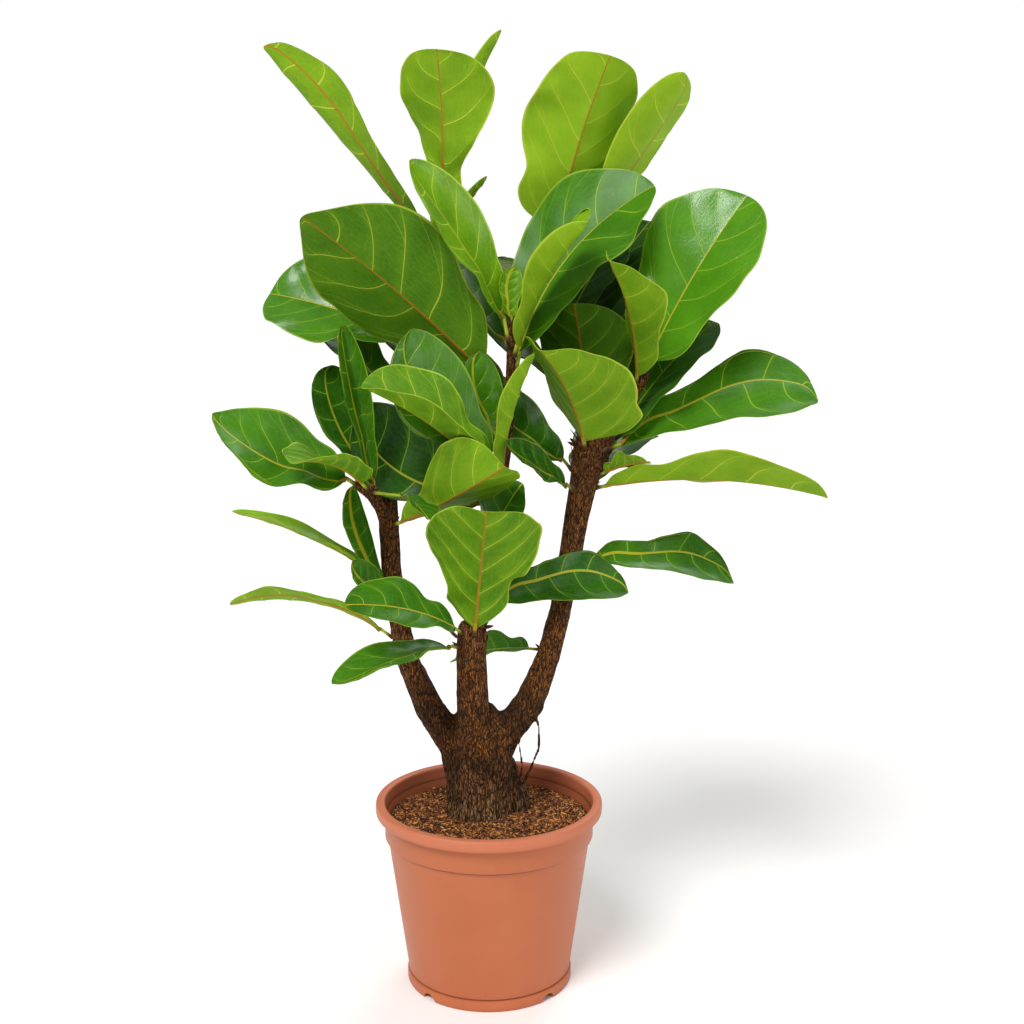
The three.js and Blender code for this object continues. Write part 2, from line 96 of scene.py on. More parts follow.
# Pot, beside its rim radius and height, which come from the frame.
POT_SIDES = 160
POT_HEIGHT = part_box("pot")[1].z
RIM_ROLL = 16 * MM
RIM_SQUARENESS = 0.5
MOUTH_RADIUS = 137 * MM
BAND_RADIUS = 138 * MM
LEDGE_HEIGHT = 200 * MM
BODY_TOP_RADIUS = 134 * MM
FOOT_RADIUS = 110 * MM
FOOT_HEIGHT = 15 * MM
WALL = 4 * MM
POT_FLOOR = 12 * MM
NOTCHES = 4
NOTCH_WIDTH = 22 * MM
NOTCH_HEIGHT = 9 * MM

# Setting. A sun is its compass angle, rise and width in the sky in degrees, and its strength.
CAMERA_PLACE = (0.0305, -1.8456, 0.9608)
CAMERA_PITCH_DEGREES = 79.92
FOCAL_LENGTH_MM = 51.47
SENSOR_WIDTH_MM = 36
WORLD_LIGHT = 0.5
WORLD_SHEEN = 0.2
SUNS = {"key": (240, 50, 26, 2.3), "fill": (320, 20, 40, 0.5), "back": (70, 45, 30, 0.8)}
FLOOR_SIZE = 30


def smooth(x, low, high):
    """0 below low, 1 above high, and a smooth step between them."""
    t = np.clip((x - low) / (high - low), 0, 1)
    return t * t * (3 - 2 * t)


def new_object(name, points, faces, material, smooth_shading=True):
    mesh = bpy.data.meshes.new(name)
    mesh.from_pydata([tuple(p) for p in points], [], [tuple(f) for f in faces])
    mesh.materials.append(material)
    mesh.update()
    if smooth_shading:
        mesh.shade_smooth()
    piece = bpy.data.objects.new(name, mesh)
    bpy.context.scene.collection.objects.link(piece)
    return piece


def store(piece, name, values):
    """Keeps three numbers for each vertex, which the materials read by that name."""
    layer = piece.data.attributes.new(name, "FLOAT_VECTOR", "POINT")
    layer.data.foreach_set("vector", np.asarray(values, np.float32).ravel())


# ---------------------------------------------------------------- materials


class Shader:
    """A material with short calls for the nodes used here. Its colours are sRGB."""

    def __init__(self, name):
        self.material = bpy.data.materials.new(name)
        self.material.use_nodes = True
        self.tree = self.material.node_tree
        self.tree.nodes.clear()
        self.output = self.tree.nodes.new("ShaderNodeOutputMaterial")

    def node(self, kind, inputs=None, **settings):
        made = self.tree.nodes.new("ShaderNode" + kind)
        for key, value in settings.items():
            setattr(made, key, value)
        for key, value in (inputs or {}).items():
            self.feed(made.inputs[key], value)
        return made

    def feed(self, socket, value):
        if isinstance(value, bpy.types.NodeSocket):
            self.tree.links.new(value, socket)
        elif isinstance(value, str):
            socket.default_value = rgb(value)
        else:
            socket.default_value = value

    def math(self, operation, *values):
        made = self.node("Math", dict(enumerate(values)), operation=operation)
        return made.outputs[0]

    def ramp(self, value, low, high, out_low=0.0, out_high=1.0):
        numbers = {"Value": value, "From Min": low, "From Max": high}
        numbers |= {"To Min": out_low, "To Max": out_high}
        made = self.node("MapRange", numbers, interpolation_type="SMOOTHSTEP")
        return made.outputs[0]

    def mix(self, factor, a, b):
        made = self.node("Mix", data_type="RGBA")
        for index, value in ((0, factor), (6, a), (7, b)):
            self.feed(made.inputs[index], value)
        return made.outputs[2]

    def noise(self, vector, scale, detail=3.0, roughness=0.55):
        numbers = {"Vector": vector, "Scale": scale, "Detail": detail, "Roughness": roughness}
        return self.node("TexNoise", numbers).outputs["Fac"]

    def attribute(self, name):
        """The three numbers that store keeps by that name."""
        return self.split(self.node("Attribute", attribute_name=name).outputs["Vector"])

    def split(self, vector):
        return tuple(self.node("SeparateXYZ", {0: vector}).outputs)

    def join(self, x, y, z):
        return self.node("CombineXYZ", {0: x, 1: y, 2: z}).outputs[0]

    def scaled(self, vector, scale):
        return self.node("VectorMath", {0: vector, 1: scale}, operation="MULTIPLY").outputs[0]

    def shifted(self, vector, by, amount):
        numbers = {0: by, 1: (amount, amount, amount), 2: vector}
        return self.node("VectorMath", numbers, operation="MULTIPLY_ADD").outputs[0]

    def place(self):
        return self.node("TexCoord").outputs["Object"]

    def bump(self, height, strength, distance):
        made = self.node("Bump", {"Height": height, "Strength": strength, "Distance": distance})
        return made.outputs[0]

    def surface(self, **inputs):
        names = {key.replace("_", " "): value for key, value in inputs.items()}
        shader = self.node("BsdfPrincipled", names)
        self.tree.links.new(shader.outputs[0], self.output.inputs[0])
        return shader


def rgb(code):
    """Linear colour of an sRGB code such as 'a0c040'."""
    parts = [int(code[i:i + 2], 16) / 255 for i in (0, 2, 4)]
    return (*[c / 12.92 if c < 0.04045 else ((c + 0.055) / 1.055) ** 2.4 for c in parts], 1)


# The looks of each age of leaf: colours of the upper face and of the lower one, of their veins
# and midribs, and how matt the upper face is.
LEAF_LOOKS = {
    "leaf_old": {
        "top": ("16400a", "3d8012"), "bottom": ("345e0a", "5a8c18"), "top_vein": "86a82c",
        "bottom_vein": "94a238", "top_rib": "b4b032", "bottom_rib": "96681f", "matt": 0.3,
    },
    "leaf_grown": {
        "top": ("24600c", "5a9c1a"), "bottom": ("40740c", "70a21a"), "top_vein": "9cbe34",
        "bottom_vein": "b2c03a", "top_rib": "c8be34", "bottom_rib": "a8721f", "matt": 0.28,
    },
    "leaf_young": {
        "top": ("4a880a", "98cc1e"), "bottom": ("4c860a", "9cc424"), "top_vein": "d0e850",
        "bottom_vein": "cad848", "top_rib": "d2cc3c", "bottom_rib": "b4842a", "matt": 0.33,
    },
}

# How light a leaf is within its age, where that is plain to see: 0 dark, 1 light.
TONES = {
    "middle_01": 0.0, "left_01": 0.6, "left_02": 0.5, "left_03": 0.4, "centre_01": 0.1,
    "centre_02": 0.55, "top_01": 0.95, "outer_01": 1.0, "right_01": 0.4, "front_01": 0.6,
    "front_02": 0.15, "front_03": 0.0, "middle_02": 0.2, "middle_03": 0.4, "front_04": 0.3,
    "side_01": 0.5, "right_02": 0.5, "right_03": 0.7, "top_02": 1.0, "centre_03": 0.35,
    "outer_02": 0.45, "centre_04": 0.9, "side_02": 0.4, "left_04": 0.3, "left_05": 0.6,
    "side_03": 0.1, "left_06": 0.9, "left_07": 0.7, "right_04": 0.2, "right_05": 0.5,
    "centre_05": 0.7, "front_05": 0.7, "left_09": 0.6, "right_08": 0.3, "right_09": 0.2,
}
# Leaves that shine more than the others.
GLOSSY = {"front_01", "outer_01", "centre_03", "left_05", "centre_05"}


def leaf_veins(s, across, margin, count, seeded):
    """How much of a vein a place is, and how near it is to a side vein, both from 0 to 1."""
    right = s.math("GREATER_THAN", across, 0.0)
    phase = s.math("FRACT", s.math("MULTIPLY_ADD", right, 0.5, count))
    off = s.math("SUBTRACT", 0.5, s.math("ABSOLUTE", s.math("SUBTRACT", phase, 0.5)))
    thin = s.ramp(margin, 0.55, 1.0, 1.0, 0.25)
    side_vein = s.math("MULTIPLY", s.ramp(off, 0.026, 0.008), thin)
    near = s.ramp(off, 0.3, 0.0)
    # Near the margin each vein forks: one branch bends off and dies away halfway to the next.
    bend = s.ramp(margin, 0.5, 1.0, 0.5, 0.02)
    bent = s.math("FRACT", s.math("ADD", phase, bend))
    branch = s.math("ABSOLUTE", s.math("SUBTRACT", bent, 0.5))
    fading = s.ramp(margin, 0.5, 0.56, 0.0, 0.55)
    small = s.math("MULTIPLY", s.ramp(branch, 0.021, 0.006), fading)
    # Faint rungs join one side vein to the next, over a fainter net.
    netting = s.node("TexVoronoi", {"Vector": seeded, "Scale": 0.13}, feature="DISTANCE_TO_EDGE")
    net = s.math("MULTIPLY", s.ramp(netting.outputs["Distance"], 0.06, 0.0), 0.12)
    drift = s.math("MULTIPLY", s.noise(seeded, 0.05, 2.0), 3.0)
    beat = s.math("FRACT", s.math("MULTIPLY_ADD", s.math("ABSOLUTE", across), 0.16, drift))
    rung = s.math("ABSOLUTE", s.math("SUBTRACT", beat, 0.5))
    rungs = s.math("MULTIPLY", s.ramp(rung, 0.09, 0.0), 0.16)
    fine = s.math("MAXIMUM", rungs, net)
    return s.math("MAXIMUM", side_vein, s.math("MAXIMUM", small, fine)), near


def leaf_material(slot):
    look = LEAF_LOOKS[slot]
    s = Shader(slot)
    # leaf_map: millimetres right of the midrib, millimetres from the blade's base, count of
    # veins. On the stalk the second is below 0, and the third is millimetres from the wood.
    # leaf_side: 1 on the upper face, 0 to 1 from midrib to margin, the leaf's own seed.
    # leaf_tone: how light the leaf is, how much it shines, 0.
    across, along, count = s.attribute("leaf_map")
    upper, margin, seed = s.attribute("leaf_side")
    tone, shine, _ = s.attribute("leaf_tone")
    seeded = s.join(across, along, s.math("MULTIPLY", seed, 900.0))

    veins, near = leaf_veins(s, across, margin, count, seeded)
    rib_width = s.math("MULTIPLY_ADD", upper, -0.35, s.ramp(along, 10.0, 280.0, 1.5, 0.7))
    rib = s.ramp(s.math("DIVIDE", s.math("ABSOLUTE", across), rib_width), 1.15, 0.75)

    patches = s.ramp(s.noise(seeded, 0.022, 4.0), 0.3, 0.7)
    tint = s.math("MULTIPLY_ADD", patches, 0.3, s.math("MULTIPLY", tone, 0.7))
    top = s.mix(tint, *look["top"])
    bottom = s.mix(tint, *look["bottom"])
    blade = s.mix(upper, bottom, top)
    lightest = s.mix(upper, look["bottom"][1], look["top"][1])
    blade = s.mix(s.math("MULTIPLY", near, 0.25), blade, lightest)
    vein_colour = s.mix(upper, look["bottom_vein"], look["top_vein"])
    rib_colour = s.mix(upper, look["bottom_rib"], look["top_rib"])
    colour = s.mix(veins, blade, vein_colour)
    colour = s.mix(s.math("MULTIPLY", s.ramp(margin, 0.955, 0.985), 0.8), colour, vein_colour)
    colour = s.mix(rib, colour, rib_colour)
    stalk = s.mix(s.ramp(count, 14.0, 4.0), look["bottom_vein"], "5e3c1e")
    colour = s.mix(s.ramp(along, 0.0, -1.5), colour, stalk)

    raised = s.math("MULTIPLY_ADD", upper, -1.6, 1.0)
    relief = s.math("MULTIPLY", s.math("ADD", veins, s.math("MULTIPLY", near, 0.5)), raised)
    grain = s.math("MULTIPLY", s.noise(seeded, 0.9, 2.0), 0.25)
    normal = s.bump(s.math("ADD", relief, grain), 0.8, 0.6 * MM)
    scuffs = s.math("MULTIPLY", s.noise(seeded, 0.05, 3.0), 0.12)
    matt = s.math("MULTIPLY_ADD", upper, look["matt"] - 0.5, 0.5)
    matt = s.math("MULTIPLY_ADD", shine, -0.15, s.math("ADD", matt, scuffs))
    sheen = s.math("MULTIPLY_ADD", shine, 0.25, s.math("MULTIPLY_ADD", upper, 0.17, 0.12))

    shader = s.surface(Base_Color=colour, Roughness=matt, Normal=normal, Specular_IOR_Level=sheen)
    glow = s.node("BsdfTranslucent", {"Color": s.mix(0.6, colour, "9ad010"), "Normal": normal})
    both = s.node("MixShader", {0: 0.22, 1: shader.outputs[0], 2: glow.outputs[0]})
    s.tree.links.new(both.outputs[0], s.output.inputs[0])
    return s.material


def bark_material():
    s = Shader("bark")
    place = s.place()
    _, _, height = s.split(place)
    sway = s.noise(s.scaled(place, (1.0, 1.0, 0.5)), 90.0, 2.0)
    swayed = s.shifted(place, s.join(sway, sway, sway), 0.012)
    plates = s.node(
        "TexVoronoi", {"Vector": s.scaled(swayed, (1.0, 1.0, 0.22)), "Scale": 290.0},
        feature="DISTANCE_TO_EDGE")
    crack = s.ramp(plates.outputs["Distance"], 0.14, 0.03)
    streaks = s.noise(s.scaled(place, (1.0, 1.0, 0.22)), 420.0, 5.0, 0.7)
    flecks = s.ramp(s.noise(s.scaled(place, (1.0, 1.0, 0.35)), 640.0, 3.0, 0.6), 0.53, 0.64)
    broad = s.ramp(s.noise(place, 14.0, 3.0), 0.35, 0.65)
    base = s.mix(s.ramp(streaks, 0.35, 0.65), "2a190b", "7a4a1e")
    base = s.mix(s.math("MULTIPLY", flecks, s.math("MULTIPLY_ADD", broad, 0.6, 0.35)), base, "bc7430")
    grey = s.ramp(height, *GREY_FOOT, 0.0, 0.85)
    base = s.mix(s.math("MULTIPLY", grey, s.ramp(streaks, 0.42, 0.62)), base, "ac8a66")
    shade = s.math("MULTIPLY", s.ramp(height, *DARK_FORK, 0.0, 0.5), s.ramp(broad, 0.9, 0.2))
    base = s.mix(shade, base, "1c120a")
    base = s.mix(s.ramp(height, *GREEN_SHOOTS, 0.0, 0.35), base, "4f4a1c")
    base = s.mix(s.math("MULTIPLY", crack, 0.8), base, "0e0804")
    relief = s.math("SUBTRACT", s.math("MULTIPLY_ADD", flecks, 0.4, streaks), crack)
    s.surface(
        Base_Color=base, Roughness=s.ramp(streaks, 0.2, 0.8, 0.95, 0.75),
        Normal=s.bump(relief, 0.9, 1.2 * MM), Specular_IOR_Level=0.2,
    )
    return s.material


def soil_material():
    s = Shader("soil")
    tone, _, _ = s.attribute("chip")
    fibre = s.noise(s.place(), 900.0, 3.0)
    base = s.mix(s.ramp(tone, 0.05, 0.5), "1e0d05", "7a4119")
    base = s.mix(s.ramp(tone, 0.6, 0.95), base, "dc9448")
    base = s.mix(s.math("MULTIPLY", s.ramp(fibre, 0.45, 0.75), 0.4), base, "3c2310")
    s.surface(Base_Color=base, Roughness=0.85, Normal=s.bump(fibre, 0.5, 0.5 * MM))
    return s.material


def pot_material():
    s = Shader("pot")
    place = s.place()
    cloud = s.ramp(s.noise(place, 9.0, 4.0), 0.3, 0.7)
    grain = s.noise(place, 1400.0, 2.0)
    x, y, height = s.split(place)
    base = s.mix(cloud, "b4623b", "ba6841")
    worn = s.ramp(s.noise(place, 60.0, 5.0), 0.6, 0.75)
    low = s.ramp(height, 0.05, 0.0, 0.0, 0.5)
    base = s.mix(s.math("MULTIPLY", worn, low), base, "9c5435")
    # Painted shade: the creases at the ledge, at the foot and under the rim are darkened.
    shaded_crease_heights = [LEDGE_HEIGHT - 1.2 * MM, FOOT_HEIGHT + 1 * MM, POT_HEIGHT - RIM_ROLL - 0.8 * MM]
    for shaded_crease_height in shaded_crease_heights:
        away = s.math("ABSOLUTE", s.math("SUBTRACT", height, shaded_crease_height))
        base = s.mix(s.ramp(away, 1.5 * MM, 0.7 * MM, 0.0, 0.75), base, "5c2b18")
    # Painted shade on the wall inside the mouth, above the ledge.
    radius = s.math("SQRT", s.math("ADD", s.math("MULTIPLY", x, x), s.math("MULTIPLY", y, y)))
    inside = s.ramp(radius, MOUTH_RADIUS + 0.6 * MM, MOUTH_RADIUS - 0.4 * MM)
    above = s.ramp(height, LEDGE_HEIGHT + 1 * MM, LEDGE_HEIGHT + 3 * MM)
    base = s.mix(s.math("MULTIPLY", s.math("MULTIPLY", inside, above), 0.5), base, "7c3c1f")
    # Painted highlight: the rim roll is lighter from its middle up, fading out towards its foot.
    lip = s.ramp(height, POT_HEIGHT - RIM_ROLL, POT_HEIGHT - 0.5 * RIM_ROLL, 0.0, 0.5)
    base = s.mix(lip, base, "c9775a")
    s.surface(
        Base_Color=base, Roughness=s.ramp(cloud, 0.0, 1.0, 0.42, 0.52),
        Normal=s.bump(grain, 0.25, 0.3 * MM), Specular_IOR_Level=0.35,
    )
    return s.material


def husk_material():
    s = Shader("husk")
    fibre = s.noise(s.scaled(s.place(), (1.0, 1.0, 0.3)), 700.0, 4.0)
    base = s.mix(s.ramp(fibre, 0.3, 0.7), "2a170d", "7c4826")
    s.surface(Base_Color=base, Roughness=0.75, Normal=s.bump(fibre, 0.8, 0.6 * MM))
    return s.material


# ---------------------------------------------------------------- leaves


class CadLeaf:
    """The rings of a CAD leaf's mesh, sorted: ring 0 at the blade's base, then its stations."""

    def __init__(self, node):
        mesh = node.data
        raw = np.zeros(3 * len(mesh.vertices))
        mesh.vertices.foreach_get("co", raw)
        raw = raw.reshape(-1, 3)
        _, first, self.weld = np.unique(
            np.round(raw / (0.01 * MM)).astype(int), axis=0, return_index=True, return_inverse=True)
        self.points = raw[first]
        self.weld = self.weld.ravel()
        self.near = [set() for _ in self.points]
        for polygon in mesh.polygons:
            corners = [int(self.weld[v]) for v in polygon.vertices]
            for a in corners:
                self.near[a].update(b for b in corners if b != a)
        rings = self.sorted_rings()
        self.tip = self.points[self.tip_vertex]
        self.stalk = self.points[rings.pop()]
        self.rings = [self.points[ring] for ring in reversed(rings)]

    def sorted_rings(self):
        """Vertex numbers of each ring from the tip down, each in the order of its ten columns."""
        self.tip_vertex = next(v for v, near in enumerate(self.near) if len(near) == RING)
        levels = [{self.tip_vertex}]
        seen = {self.tip_vertex}
        while len(seen) < len(self.points):
            level = {w for v in levels[-1] for w in self.near[v]} - seen
            levels.append(level)
            seen |= level
        first = self.walk(levels[1])
        labelled = []
        for start in range(RING):
            for step in (1, -1):
                order = [first[(start + step * i) % RING] for i in range(RING)]
                below = self.next_ring(order, levels[2])
                if below and self.upright(order, below):
                    labelled = [order]
        for level in levels[2:]:
            labelled.append(self.next_ring(labelled[-1], level))
        return labelled

    def walk(self, level):
        """The vertices of a ring in the order in which its edges join them."""
        order = [min(level)]
        while len(order) < RING:
            order.append(min(w for w in self.near[order[-1]] & level if w not in order))
        return order

    def next_ring(self, order, level):
        """The ring below order, column by column. A diagonal runs from each column but the last
        to the next column tipwards, on both faces. None if the two rings don't fit that."""
        column = {v: i for i, v in enumerate(order)}
        found = {}
        for w in sorted(level, key=lambda w: len(self.near[w] & set(order))):
            ahead = {column[v] for v in self.near[w] & set(order)}
            for i in range(RING):
                diagonal = {i + 1} if i < COLUMNS - 1 else {i - 1} if i > COLUMNS else set()
                margin = {RING - 1 - i} if i in (0, COLUMNS - 1, COLUMNS, RING - 1) else set()
                fits = {i} | diagonal <= ahead and ahead <= {i} | diagonal | margin
                if fits and i not in found:
                    found[i] = w
                    break
        if len(found) < RING:
            return None
        return [found[i] for i in range(RING)]

    def upright(self, order, below):
        """True if the first five columns are the upper face's, from left to right."""
        at = self.points
        forward = at[order[2]] - at[below[2]]
        side = at[below[COLUMNS - 1]] - at[below[0]]
        through = at[below[1]] - at[below[RING - 2]]
        return np.dot(np.cross(side, forward), through) > 0


def knots():
    """Where the stations lie on a scale that is stretched at both ends of a leaf, so that a
    blade's round ends stay round."""
    return np.array([math.asin(math.sqrt(s)) / (math.pi / 2) for s in STATIONS])


def hermite(at, where, values, slopes):
    """Smooth curve through values at the sorted places where, read at the places at."""
    i = np.clip(np.searchsorted(where, at, side="right") - 1, 0, len(where) - 2)
    gap = (where[i + 1] - where[i])[:, None, None]
    t = ((at - where[i]) / (where[i + 1] - where[i]))[:, None, None]
    h = [2 * t**3 - 3 * t**2 + 1, t**3 - 2 * t**2 + t, 3 * t**2 - 2 * t**3, t**3 - t**2]
    return h[0] * values[i] + h[1] * gap * slopes[i] + h[2] * values[i + 1] + h[3] * gap * slopes[i + 1]


def blade_sheet(leaf):
    """The upper face of a leaf: a grid of points, with how far each is along and across."""
    face = np.array([ring[:COLUMNS] for ring in leaf.rings])
    tip = np.repeat(leaf.tip[None, :], COLUMNS, axis=0)
    values = np.concatenate([face, tip[None]])
    where = knots()
    beyond = values[-2][::-1]
    padded = np.concatenate([values, beyond[None]])
    places = np.append(where, 2 - where[-2])
    slopes = np.zeros_like(values)
    slopes[1:] = (padded[2:] - padded[:-2]) / (places[2:] - places[:-2])[:, None, None]
    slopes[0] = (values[1] - values[0]) / (where[1] - where[0])
    at = np.linspace(0, 1, ROWS)
    rows = hermite(at, where, values, slopes)
    t = np.array([-x for x in ACROSS[:0:-1]] + ACROSS)
    tau = np.abs(t)
    outer = np.where(t < 0, 0, COLUMNS - 1)
    inner = np.where(t < 0, 1, COLUMNS - 2)
    weights = [(1 - tau) * (1 - 2 * tau), 4 * tau * (1 - tau), tau * (2 * tau - 1)]
    sheet = (
        weights[0][None, :, None] * rows[:, [2] * len(t)]
        + weights[1][None, :, None] * rows[:, inner]
        + weights[2][None, :, None] * rows[:, outer]
    )
    s = np.sin(at * math.pi / 2) ** 2
    return sheet, s, t


def sheet_normals(sheet):
    down = np.gradient(sheet, axis=0)
    side = np.gradient(sheet, axis=1)
    normals = np.cross(side, down)
    sizes = np.linalg.norm(normals, axis=2, keepdims=True)
    normals = np.where(sizes > 1e-12, normals / np.maximum(sizes, 1e-12), 0)
    normals[-1] = normals[-2].mean(axis=0)
    return normals / np.maximum(np.linalg.norm(normals, axis=2, keepdims=True), 1e-9)


def vein_count(s, t, along, reach, draw):
    """How many side veins lie between the base and a point of the blade. They leave the midrib
    at a slant and bend towards the tip by the margin, a little unevenly."""
    out = np.abs(t)
    slant = draw.uniform(0.55, 0.7) * out + draw.uniform(0.35, 0.5) * out**3
    origin = (along[:, None] - reach[:, None] * slant) / along[-1]
    wobble = 0
    for _ in range(3):
        height = draw.uniform(0.03, 0.08)
        wobble += height * np.sin(
            draw.uniform(3, 9) * s + draw.uniform(2, 6) * t + draw.uniform(0, 6))
    return VEIN_PAIRS * origin * (1.15 - 0.15 * origin) + wobble + draw.uniform(0, 1)


def run_along(points):
    """How far each point is from the first one, along the line that they make."""
    return np.concatenate([[0], np.cumsum(np.linalg.norm(np.diff(points, axis=0), axis=1))])


def skin(rings, cap_end):
    """Faces of a closed skin over rings of equal size, numbered in turn."""
    size = len(rings[0])
    faces = []
    for k in range(len(rings) - 1):
        low, high = k * size, (k + 1) * size
        for i in range(size):
            j = (i + 1) % size
            faces.append((low + i, low + j, high + j, high + i))
    faces.append(tuple(range(size))[::-1])
    last = (len(rings) - 1) * size
    if cap_end:
        faces.append(tuple(range(last, last + size)))
    return faces


def stalk_rings(leaf, sheet, normals):
    """Rings of the stalk: out of the wood, and on under the blade as its thinning midrib."""
    root = leaf.stalk.mean(axis=0)
    base = leaf.rings[0].mean(axis=0)
    radius = np.linalg.norm(leaf.rings[0] - base, axis=1).mean()
    middle = len(ACROSS) - 1
    row = ROWS // 7
    end = sheet[row, middle] - normals[row, middle] * (BLADE + 0.2 * MM)
    places = [root + (base - root) * u for u in STALK_SWELL] + [(base + end) / 2, end]
    sizes = [swell * radius for swell in STALK_SWELL.values()] + [0.8 * radius, 0.35 * radius]
    up = normals[1, middle]
    turn = np.linspace(0, 2 * math.pi, STALK_SIDES, endpoint=False)
    rings = []
    for i, (point, size) in enumerate(zip(places, sizes)):
        ahead = places[min(i + 1, len(places) - 1)] - places[max(i - 1, 0)]
        ahead = ahead / np.linalg.norm(ahead)
        side = np.cross(ahead, up)
        side = side / np.linalg.norm(side)
        over = np.cross(side, ahead)
        rings.append(point + size * (np.cos(turn)[:, None] * side + np.sin(turn)[:, None] * over))
    return np.array(rings)


def stalk_places(rings):
    """For each ring of a stalk: 0, how far it is beyond the blade's base, and from the wood."""
    run = run_along(rings.mean(axis=1))
    beyond = np.minimum(run - run[-3], 0)
    return np.stack([0 * run, beyond, run], axis=1)


def blade_faces(slot, sheet, s, t, reach, count, draw):
    """The upper and the lower face over a sheet. Between its veins a blade bulges up, its margin
    ripples, and its ribs stand out below."""
    phase = count + 0.5 * (t > 0)
    inside = smooth(np.abs(t), 0.02, 0.2) * (1 - smooth(np.abs(t), 0.7, 1.0))
    ends = smooth(s, 0.02, 0.12) * (1 - smooth(s, 0.88, 1.0))
    quilt = QUILTING[slot] * np.abs(np.sin(math.pi * phase)) ** 0.8 * inside * ends
    beat = 2 * math.pi * draw.uniform(2, 3.2) * s + 2.2 * t + draw.uniform(0, 6)
    depth = MARGIN_RIPPLE * min(1, (reach.max() / BIG_HALF_WIDTH) ** 1.5)
    ripple = depth * np.abs(t) ** 3 * (np.sin(beat) + 0.35 * np.sin(2.3 * beat)) * ends
    top = sheet + sheet_normals(sheet) * (quilt + ripple)[:, :, None]

    from_rib = np.abs(t) * reach[:, None]
    rib_profile = 1 - smooth(from_rib, 0.25 * RIB_HALF_WIDTH, RIB_HALF_WIDTH)
    rib = RIB_HEIGHT * (1 - 0.8 * s) * rib_profile * (1 - smooth(s, 0.9, 1.0))
    side_rib = 0.35 * MM * smooth(np.abs(np.cos(math.pi * phase)), 0.9, 1.0) * inside * ends
    thickness = BLADE * (1 - 0.55 * np.abs(t) ** 8)
    under = top - sheet_normals(top) * (thickness + rib + side_rib)[:, :, None]
    return top, under


def both_faces(upper, lower):
    """The rows of two grids as rings: out over the upper face and back over the lower one. The
    last row is left out, where a leaf's one tip point stands instead."""
    return [np.concatenate([a, b[::-1]]) for a, b in zip(upper[:-1], lower[:-1])]


def make_leaf(node_name, slot, material, draw):
    leaf = CadLeaf(frame["nodes"][node_name])
    sheet, rows, columns = blade_sheet(leaf)
    along = run_along(sheet[:, len(ACROSS) - 1])
    reach = 0.5 * np.linalg.norm(sheet[:, -1] - sheet[:, 0], axis=1)
    s, t = np.meshgrid(rows, columns, indexing="ij")
    count = vein_count(s, t, along, reach, draw)
    top, under = blade_faces(slot, sheet, s, t, reach, count, draw)
    seed = draw.random()

    rings = both_faces(top, under)
    size = len(rings[0])
    points = np.concatenate(rings + [leaf.tip[None]])
    faces = skin(rings, cap_end=False)
    last = len(points) - 1 - size
    faces += [(last + i, last + (i + 1) % size, len(points) - 1) for i in range(size)]
    leaf_map = np.stack([t * reach[:, None] / MM, along[:, None] / MM + 0 * t, count], axis=2)
    leaf_side = np.stack([1 + 0 * t, np.abs(t), seed + 0 * t], axis=2)
    blade_map = np.concatenate(both_faces(leaf_map, leaf_map))
    blade_side = np.concatenate(both_faces(leaf_side, leaf_side * (0, 1, 1)))
    tip_map = [[0, along[-1] / MM, count[-1].mean()]]
    tip_side = [[0.5, 1, seed]]

    stalk = stalk_rings(leaf, sheet, sheet_normals(top))
    faces += [tuple(len(points) + i for i in face) for face in skin(stalk, cap_end=True)]
    stalk_points = np.concatenate(stalk)
    points = np.concatenate([points, stalk_points])
    stalk_map = np.repeat(stalk_places(stalk) / MM, STALK_SIDES, axis=0)
    stalk_side = np.tile([0.25, 0, seed], (len(stalk_points), 1))

    name = node_name.removeprefix("leaf_")
    tone = TONES.get(name, 0.1 + 0.4 * draw.random())
    shine = float(name in GLOSSY)
    piece = new_object("fine_" + node_name, points, faces, material)
    store(piece, "leaf_map", np.concatenate([blade_map, tip_map, stalk_map]))
    store(piece, "leaf_side", np.concatenate([blade_side, tip_side, stalk_side]))
    store(piece, "leaf_tone", np.tile([tone, shine, 0], (len(points), 1)))
    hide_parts(node_name)
    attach(piece, "root")
    return leaf


# ---------------------------------------------------------------- wood


def applied(piece):
    """A mesh of the piece with its modifiers applied, which are then gone from it."""
    graph = bpy.context.evaluated_depsgraph_get()
    mesh = bpy.data.meshes.new_from_object(piece.evaluated_get(graph))
    piece.modifiers.clear()
    return mesh


def make_trunk(material):
    """The trunk's skin in small even faces, furrowed along its length."""
    source = frame["nodes"]["trunk"].data
    piece = bpy.data.objects.new("fine_trunk", source.copy())
    bpy.context.scene.collection.objects.link(piece)
    welded = bmesh.new()
    welded.from_mesh(piece.data)
    bmesh.ops.remove_doubles(welded, verts=welded.verts, dist=0.01 * MM)
    welded.to_mesh(piece.data)
    welded.free()
    remesh = piece.modifiers.new("even", "REMESH")
    remesh.mode = "VOXEL"
    remesh.voxel_size = BARK_VOXEL
    soften = piece.modifiers.new("soften", "SMOOTH")
    soften.factor = 0.5
    soften.iterations = 4
    piece.data = applied(piece)
    mesh = piece.data
    normals = [v.normal.copy() for v in mesh.vertices]
    for vertex, normal in zip(mesh.vertices, normals):
        x, y, z = vertex.co
        furrow = noise.noise(Vector((x * 150, y * 150, z * 28)))
        flake = noise.noise(Vector((x * 330, y * 330, z * 120)))
        lump = noise.noise(Vector((x * 40, y * 40, z * 22)))
        thick = min(1.0, max(0.35, (0.8 - z) / 0.4))
        rise = BARK_RELIEF * thick * (0.7 * furrow + 0.35 * flake + 0.5 * lump)
        vertex.co += normal * rise
    mesh.materials.clear()
    mesh.materials.append(material)
    mesh.shade_smooth()
    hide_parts("trunk")
    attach(piece, "root")
    return piece


